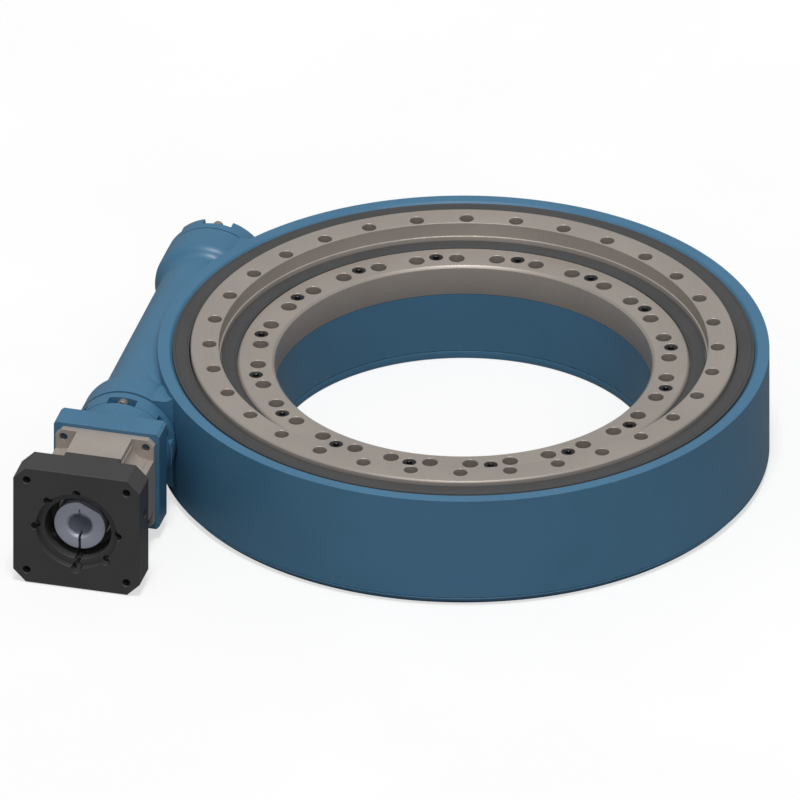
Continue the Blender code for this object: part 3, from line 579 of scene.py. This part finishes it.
def fixed_holes(bm):
    for n in range(SCREWS):
        a = 2 * math.pi * n / SCREWS
        for side in (-1, 1):
            p, s, m = drilled(hole_profile(7.75, 60.0, 105.3, 0.5),
                              a + side * math.radians(5.625), FIX_PCD)
            lathe(bm, p, s, m)
        p, s, m = drilled([(0, 60.0), (4.7, 60.0), (4.7, 96.0), (6.9, 96.0), (6.9, 104.9),
                           (8.3, 106.3), (0, 106.3)], a, SCREW_PCD)
        lathe(bm, p, s, m)


fixed = make("inner_bearing_ring_fine", lambda bm: lathe(bm, soften(
    [(BORE_R, 73.4), (232.0, 73.4), (232.0, 79.5), (225.0, 87.0), (232.0, 94.5),
     (232.0, 99.8), (224.3, 99.8), (224.3, 103.3), (222.3, 105.3), (190.0, 105.3),
     (BORE_R, 102.9)], [0.5, 0.5, 0.3, 0.8, 0.3, 0.3, 0.2, 0.3, 0.3, 0.3, 0.3], 2), SEG, RING))
combine(fixed, ("DIFFERENCE", make("c10", fixed_holes)))
place(fixed, M_FIXED, "ring_steel", "housing", "inner_bearing_ring")


def turning_holes(bm):
    for n in range(TURN_HOLES):
        a = math.radians(TURN_PHASE + 360.0 * n / TURN_HOLES)
        p, s, m = drilled(hole_profile(7.0, TURN_TOP - 30.0, TURN_TOP, 0.5), a, TURN_PCD)
        lathe(bm, p, s, m)


turning = make("rotating_ring_fine", lambda bm: lathe(bm, soften(
    [(234.2, 50.5), (257.5, 50.5), (257.5, 81.2), (270.9, 81.2), (270.9, TURN_TOP - 1.5),
     (269.6, TURN_TOP), (243.4, TURN_TOP), (243.0, TURN_TOP - 0.5), (243.0, 108.3),
     (241.6, 108.0), (241.6, 99.2), (234.2, 99.2), (234.2, 94.5), (241.0, 87.0),
     (234.2, 79.5)], [0.5, 0.5, 0.5, 0.5, 0.3, 0.3, 0.15, 0.15, 0.2, 0.2, 0.3, 0.3, 0.3, 0.8,
                      0.3], 2), SEG, RING))
combine(turning, ("DIFFERENCE", make("c11", turning_holes)))
place(turning, M_RING, "ring_steel", "turntable", "rotating_ring")


# ------------------------------------------------------------------ screws
def hexagon(across, z0=0.0):
    r = across / math.sqrt(3)
    return [(r * math.cos(math.pi / 3 * i + z0), r * math.sin(math.pi / 3 * i + z0))
            for i in range(6)]


def socket_head(shank_r, shank_len, head_r, head_h, key, depth, knurl=36):
    """A socket-head cap screw: knurled head with a rounded rim, hexagon socket, shank."""
    def build(bm):
        lathe(bm, soften([(0, -shank_len), (shank_r, -shank_len), (shank_r, 0), (head_r, 0),
                          (head_r, head_h), (0, head_h)], [0, 0.6, 0, 0.2, 0.7, 0], 3),
              knurl * 2)
        for v in bm.verts:                       # shallow knurl on the head's side
            r = math.hypot(v.co.x, v.co.y) / MM
            if r > head_r - 0.05 and 0.5 * MM < v.co.z < (head_h - 0.5) * MM:
                k = int(round(math.atan2(v.co.y, v.co.x) / (2 * math.pi) * knurl * 2))
                if k % 2:
                    v.co.x *= 1 - 0.18 / head_r
                    v.co.y *= 1 - 0.18 / head_r

    def socket(bm):
        prism(bm, hexagon(key), (head_h - depth) * MM / MM, head_h + 3.0)

    def mouth(bm):
        r = key / math.sqrt(3) + 0.15
        lathe(bm, [(0, head_h - depth - 1.3), (key / 2 - 0.2, head_h - depth + 0.2),
                   (key / 2 - 0.2, head_h - 0.9), (r, head_h - 0.35), (r + 1.0, head_h + 1.0),
                   (0, head_h + 1.0)], 36)

    obj = make("screw_shape", build)
    combine(obj, ("DIFFERENCE", make("s1", socket)), ("DIFFERENCE", make("s2", mouth)))
    mesh = obj.data
    bpy.data.objects.remove(obj, do_unlink=True)
    return mesh


def put(name, mesh, matrix, mat, slot, body, *nodes):
    obj = bpy.data.objects.new(name, mesh)
    bpy.context.scene.collection.objects.link(obj)
    obj.matrix_world = matrix
    return place(obj, mat, slot, body, *nodes)


ring_screw = socket_head(4.0, 26.0, 6.5, 8.0, 6.0, 4.4)
for n in range(SCREWS):
    a = 2 * math.pi * n / SCREWS
    put("ring_screw_fine_%02d" % (n + 1), ring_screw,
        RING @ Matrix.Translation((SCREW_PCD / 2 * math.cos(a) * MM,
                                   SCREW_PCD / 2 * math.sin(a) * MM, 96.4 * MM))
        @ Matrix.Rotation(a * 1.7 + 0.3 * n, 4, "Z"),
        M_SCREW, "screw_black", "housing", "ring_screw_%02d" % (n + 1))

end_screw = socket_head(2.9, 19.0, 5.2, 7.2, 5.0, 3.6, 30)
for n, (x, z) in enumerate(end_places):
    spot = Matrix.Translation((x * MM, 0, z * MM))
    put("rear_cap_screw_fine_%d" % (n + 1), end_screw,
        DRIVE @ spot @ Matrix.Translation((0, 178.3 * MM, 0)) @ TO_Y
        @ Matrix.Rotation(0.4 * n, 4, "Z"),
        M_BOLT, "screw_steel", "housing", "rear_cap_screw_%d" % (n + 1))
    put("bell_screw_fine_%d" % (n + 1), end_screw,
        DRIVE @ spot @ Matrix.Translation((0, -179.5 * MM, 0))
        @ Matrix.Rotation(math.radians(90.0), 4, "X") @ Matrix.Rotation(0.7 * n, 4, "Z"),
        M_BOLT, "screw_steel", "housing", "bell_screw_%d" % (n + 1))


# ------------------------------------------------------------------ ends of the worm tube
def windows(low, high):
    def build(bm):
        for a in END_ANGLES:
            ca, sa = math.cos(a), math.sin(a)
            pts = soften([(40.5, -12.5), (60.0, -16.5), (60.0, 16.5), (40.5, 12.5)],
                         [1.5, 0, 0, 1.5], 4)
            prism(bm, [(r * ca - t * sa, r * sa + t * ca) for r, t in pts], low, high,
                  DRIVE, along="Y")
    return build


rear = make("rear_end_cap_fine", lambda bm: lathe(bm, soften(
    [(0, 154.4), (40.0, 154.4), (40.0, 167.5), (51.0, 167.5), (51.0, 169.5), (52.6, 169.5),
     (52.6, 187.4), (24.0, 187.4), (22.5, 178.0), (0, 178.0)],
    [0, 0.8, 0.3, 0.3, 0.3, 0.25, 0.4, 0.6, 1.5, 0], 3), 128, DY))
combine(rear, ("DIFFERENCE", make("c12", rods(20.0, 140.0, 162.0, [(0, 0)], 64))),
        ("DIFFERENCE", make("c13", windows(178.0, 200.0))),
        ("DIFFERENCE", make("c14", rods(3.3, 164.0, 190.0, end_places))))
place(rear, M_PAINT, "housing_paint", "housing", "rear_end_cap")

bell = make("adapter_bell_fine", lambda bm: lathe(bm, soften(
    [(20.0, -154.4), (40.0, -154.4), (40.0, -167.5), (51.0, -167.5), (51.0, -169.9),
     (52.6, -169.9), (52.6, -188.8), (51.6, -189.1), (51.6, FLANGE_BACK + 0.3),
     (33.0, FLANGE_BACK + 0.3), (33.0, -166.0), (20.0, -166.0)],
    [0.3, 0.8, 0.3, 0.3, 0.3, 0.3, 0.3, 0.2, 0.4, 0.4, 0.4, 0.4], 3), 128, DY))
combine(bell, ("DIFFERENCE", make("c15", windows(-190.0, -179.2))),
        ("DIFFERENCE", make("c16", rods(3.3, -185.0, -165.0, end_places))))
place(bell, M_PAINT, "housing_paint", "housing", "adapter_bell")

# ------------------------------------------------------------------ gearhead
flange = make("gearbox_flange_fine", lambda bm: stacked(bm, [
    (inset_square(FL, 3.0, 0.3), BODY_BACK + 0.3), (cut_square(FL, 3.0), BODY_BACK + 0.6),
    (cut_square(FL, 3.0), FLANGE_BACK - 0.3), (inset_square(FL, 3.0, 0.3), FLANGE_BACK)],
    DRIVE) if (FL := 54.2) else None)
combine(flange, ("DIFFERENCE", make("c17", rods(30.8, -260.0, -200.0, [(0, 0)], 96))))
place(flange, M_PAINT, "housing_paint", "housing", "gearbox_flange")


def case_outline(half=50.5):
    """Square case with a scalloped pocket at each corner, hollowed round the bolt."""
    corner = ([(half, 28.2), (44.3, 28.2), (43.4, 29.1)]
              + [(42.2 + 13.1 * math.cos(math.radians(t)), 42.2 + 13.1 * math.sin(math.radians(t)))
                 for t in range(275, 174, -10)]
              + [(29.1, 43.4), (28.2, 44.3), (28.2, half)])
    pts = []
    for n in range(4):
        ca, sa = round(math.cos(n * math.pi / 2)), round(math.sin(n * math.pi / 2))
        pts += [(x * ca - y * sa, x * sa + y * ca) for x, y in corner]
    return pts


bolt_places = [(42.2 * i, 42.2 * j) for i in (-1, 1) for j in (-1, 1)]
body = make("gearbox_body_fine", lambda bm: prism(
    bm, case_outline(), NECK_BACK + 0.3, BODY_BACK - 5.0, DRIVE, along="Y"))
BF = 50.5
combine(body,
        ("UNION", make("c18", lambda bm: stacked(bm, [
            (inset_square(BF, 6.5, 0.25), BODY_BACK - 7.0),
            (cut_square(BF, 6.5), BODY_BACK - 6.75), (cut_square(BF, 6.5), BODY_BACK - 0.25),
            (inset_square(BF, 6.5, 0.25), BODY_BACK)],
            DRIVE))),
        ("DIFFERENCE", make("c19", lambda bm: lathe(bm, [
            (0, -340.0), (38.2, -340.0), (38.2, -264.4), (30.8, -264.4), (30.8, -230.0),
            (0, -230.0)], 96, DY))),
        ("DIFFERENCE", make("c20", rods(4.2, -262.0, -240.0, bolt_places, 40))))
place(body, M_BODY, "gearbox_steel", "housing", "gearbox_body")

PH, PC = 65.0, 13.0
plate = make("motor_adapter_plate_fine", lambda bm: stacked(bm, [
    (inset_square(PH, PC, 0.3), FRONT_Y), (cut_square(PH, PC), FRONT_Y + 0.3),
    (cut_square(PH, PC), PLATE_BACK - 0.3), (inset_square(PH, PC, 0.3), PLATE_BACK)], DRIVE))
motor_bolts = [(51.25 * i, 51.25 * j) for i in (-1, 1) for j in (-1, 1)]


def chamfered(places, r, low, depth_to, chamfer=0.5, seg=40):
    """Holes opening towards -Y in the plate's front face."""
    def build(bm):
        for x, z in places:
            lathe(bm, [(0, low - 1.0), (r + chamfer + 1.0, low - 1.0), (r, low + chamfer),
                       (r, depth_to), (0, depth_to + r * 0.5)], seg,
                  DRIVE @ Matrix.Translation((x * MM, 0, z * MM)) @ TO_Y)
    return build


def at(deg, r=42.4):
    return (r * math.cos(math.radians(deg)), r * math.sin(math.radians(deg)))


def across(places, r, low, high, seg=40):
    """Round cutters that run along X at (y, z) places."""
    def build(bm):
        for y, z in places:
            lathe(bm, [(0, low), (r, low), (r, high), (0, high)], seg,
                  DRIVE @ Matrix.Translation((0, y * MM, z * MM)) @ TO_X)
    return build


def bore_groove(bm):
    prism(bm, soften([(-3.2, -37.4), (3.2, -37.4), (3.2, -31.0), (-3.2, -31.0)],
                     [0.4, 0.4, 0, 0], 2), FRONT_Y + 3.5, -327.6, DRIVE, along="Y")


combine(plate,
        ("UNION", make("c21", lambda bm: prism(bm, case_outline(), PLATE_BACK - 5.0, NECK_BACK,
                                               DRIVE, along="Y"))),
        ("DIFFERENCE", make("c22", lambda bm: lathe(bm, soften(
            [(0, -370.0), (45.0, -370.0), (42.2, FRONT_Y - 0.2), (41.7, FRONT_Y + 0.3),
             (41.7, FRONT_Y + 6.0), (34.6, FRONT_Y + 6.0), (34.3, FRONT_Y + 6.3),
             (34.3, -327.0), (28.3, -327.0), (28.3, -309.0), (38.2, -309.0), (38.2, -280.0),
             (0, -280.0)], 0.0), 128, DY))),
        ("DIFFERENCE", make("c23", chamfered(motor_bolts, 4.0, FRONT_Y, -339.0))),
        ("DIFFERENCE", make("c24", chamfered([at(t) for t in (0, 90, 135, 180, 315)], 4.2,
                                             FRONT_Y, -349.0, 0.3))),
        ("DIFFERENCE", make("c25", chamfered([at(270)], 5.4, FRONT_Y, -347.0, 0.3))),
        ("DIFFERENCE", make("c26", across([(-340.5, 18.5)], 5.5, 20.0, 70.0))),
        ("DIFFERENCE", make("c27", across([(-340.5, -18.5)], 5.5, -70.0, -20.0))),
        ("DIFFERENCE", make("c28", bore_groove)))
place(plate, M_BLACK, "adapter_black", "housing", "motor_adapter_plate")

plug = make("access_plug_fine", lambda bm: lathe(bm, soften(
    [(0, 56.0), (5.0, 56.0), (5.0, 64.0), (0, 64.0)], [0, 0.3, 0.8, 0], 3), 48,
    DRIVE @ Matrix.Translation((0, -340.5 * MM, 18.5 * MM)) @ TO_X))
combine(plug, ("DIFFERENCE", make("c29", lambda bm: prism(
    bm, [(x * 1.0, y * 1.0) for x, y in hexagon(4.0)], 61.0, 66.0,
    DRIVE @ Matrix.Translation((0, -340.5 * MM, 18.5 * MM)) @ TO_X))))
place(plug, M_BLACK, "adapter_black", "housing", "access_plug")

hub = make("clamp_hub_fine", lambda bm: lathe(bm, soften(
    [(14.4, -348.1), (26.05, -348.1), (26.05, -329.0), (17.0, -329.0), (17.0, -303.5),
     (5.8, -303.5), (5.8, -312.0), (12.0, -312.0), (12.0, -345.7)],
    [0.2, 0.35, 0.4, 0.4, 0.4, 0.3, 0.3, 0.4, 0.2], 3), 128, DY))


def hub_slots(bm):
    prism(bm, [(-1.35, -40.0), (1.35, -40.0), (1.35, -9.0), (-1.35, -9.0)], -360.0, -334.0,
          DRIVE, along="Y")


def hub_slit(bm):
    prism(bm, [(-0.8, 9.0), (0.8, 9.0)] + arc(0, 17.0, 1.3, -50, 230, 20), -360.0, -344.0,
          DRIVE, along="Y")


def hub_flat(bm):
    c, s = math.cos(math.radians(HUB_FLAT)), math.sin(math.radians(HUB_FLAT))
    prism(bm, [(r * c - t * s, r * s + t * c) for r, t in
               ((23.4, -40.0), (60.0, -40.0), (60.0, 40.0), (23.4, 40.0))], -360.0, -336.0,
          DRIVE, along="Y")


HUB_FLAT = 64.0
combine(hub, ("DIFFERENCE", make("c30", hub_slots)), ("DIFFERENCE", make("c31", hub_slit)),
        ("DIFFERENCE", make("c32", hub_flat)),
        ("DIFFERENCE", make("c33", lambda bm: lathe(bm, [
            (0, -40.0), (5.2, -40.0), (5.2, -8.6), (3.4, -8.6), (3.4, 17.0), (0, 17.0)], 40,
            DRIVE @ Matrix.Translation((0, -340.5 * MM, -18.5 * MM)) @ TO_X))))
place(hub, M_HUB, "hub_steel", "motor_input", "clamp_hub")
clamp = socket_head(3.0, 24.9, 4.8, 5.7, 4.0, 3.0, 28)
put("clamp_screw_fine", clamp,
    DRIVE @ Matrix.Translation((-8.9 * MM, -340.5 * MM, -18.5 * MM))
    @ Matrix.Rotation(math.radians(-90.0), 4, "Y"), M_SCREW, "screw_black", "motor_input",
    "clamp_screw")

# ------------------------------------------------------------------ inner pieces keep their CAD shape
for node, mat in (("worm_wheel", M_BRONZE), ("roller_cage", M_CAGE), ("worm_shaft", M_GEAR),
                  ("worm_bearing_front", M_BEARING), ("worm_bearing_rear", M_BEARING),
                  ("drive_coupling", M_GEAR), ("input_bearing", M_BEARING),
                  ("output_bearing", M_BEARING), ("ring_gear", M_GEAR), ("sun_gear", M_GEAR),
                  ("planet_carrier", M_GEAR), ("planet_gear_1", M_GEAR),
                  ("planet_gear_2", M_GEAR), ("planet_gear_3", M_GEAR)):
    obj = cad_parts[node]
    if not obj.material_slots:
        obj.data.materials.append(mat)
    for s in obj.material_slots:
        s.material = mat

# ------------------------------------------------------------------ floor, light and camera
floor_mesh = bpy.data.meshes.new("floor")
floor_mesh.from_pydata([(-9, -9, -0.0005), (9, -9, -0.0005), (9, 9, -0.0005), (-9, 9, -0.0005)],
                       [], [(0, 1, 2, 3)])
floor = bpy.data.objects.new("floor", floor_mesh)
bpy.context.scene.collection.objects.link(floor)
g = Graph("floor_pale")
pale = g.mix(g.span(g.noise(3.0), 0.0, 1.0, 0.4, 0.6), (0.90, 0.90, 0.90), (0.93, 0.93, 0.93))
seen = g.node("ShaderNodeLightPath").outputs["Is Camera Ray"]
g.set(Base_Color=g.mix(seen, (0.24, 0.24, 0.245), g.mix(0.62, pale, (0.0, 0.0, 0.0))),
      Roughness=1.0, Specular_IOR_Level=0.0, Emission_Color=(1.0, 1.0, 1.0),
      Emission_Strength=g.math("MULTIPLY", seen, 0.64))
floor_mesh.materials.append(g.mat)

world = bpy.data.worlds.new("studio")
bpy.context.scene.world = world
world.use_nodes = True
background = world.node_tree.nodes["Background"]
background.inputs["Color"].default_value = (1.0, 1.0, 1.0, 1.0)
background.inputs["Strength"].default_value = 0.335
bpy.context.scene.view_settings.view_transform = "Standard"


def sun(name, towards, strength, angle):
    """A soft distant light that shines along a direction."""
    data = bpy.data.lights.new(name, "SUN")
    data.energy = strength
    data.angle = math.radians(angle)
    obj = bpy.data.objects.new(name, data)
    obj.rotation_mode = "QUATERNION"
    obj.rotation_quaternion = Vector(towards).to_track_quat("-Z", "Y")
    bpy.context.scene.collection.objects.link(obj)


sun("overhead", (-0.06, 0.24, -0.97), 2.05, 14.0)
sun("fill", (-0.26, 0.80, -0.50), 0.31, 30.0)

PX = 0.0009924                        # metres across one 800th of the view
az, el = math.radians(15.0), math.radians(30.0)
right = Vector((math.cos(az), math.sin(az), 0.0))
up = Vector((-math.sin(az) * math.sin(el), math.cos(az) * math.sin(el), math.cos(el)))
ahead = Vector((-math.sin(az) * math.cos(el), math.cos(az) * math.cos(el), -math.sin(el)))
middle = (Vector((RX * MM, RY * MM, LIP_Z * MM)) - right * (63.5 * PX) - up * (51.7 * PX))
cam_data = bpy.data.cameras.new("camera")
cam_data.type = "ORTHO"
cam_data.ortho_scale = 800 * PX
cam_data.clip_start, cam_data.clip_end = 0.05, 50.0
cam = bpy.data.objects.new("camera", cam_data)
cam.rotation_mode = "QUATERNION"
cam.rotation_quaternion = ahead.to_track_quat("-Z", "Y")
cam.location = middle - ahead * 3.0
bpy.context.scene.collection.objects.link(cam)
bpy.context.scene.camera = cam
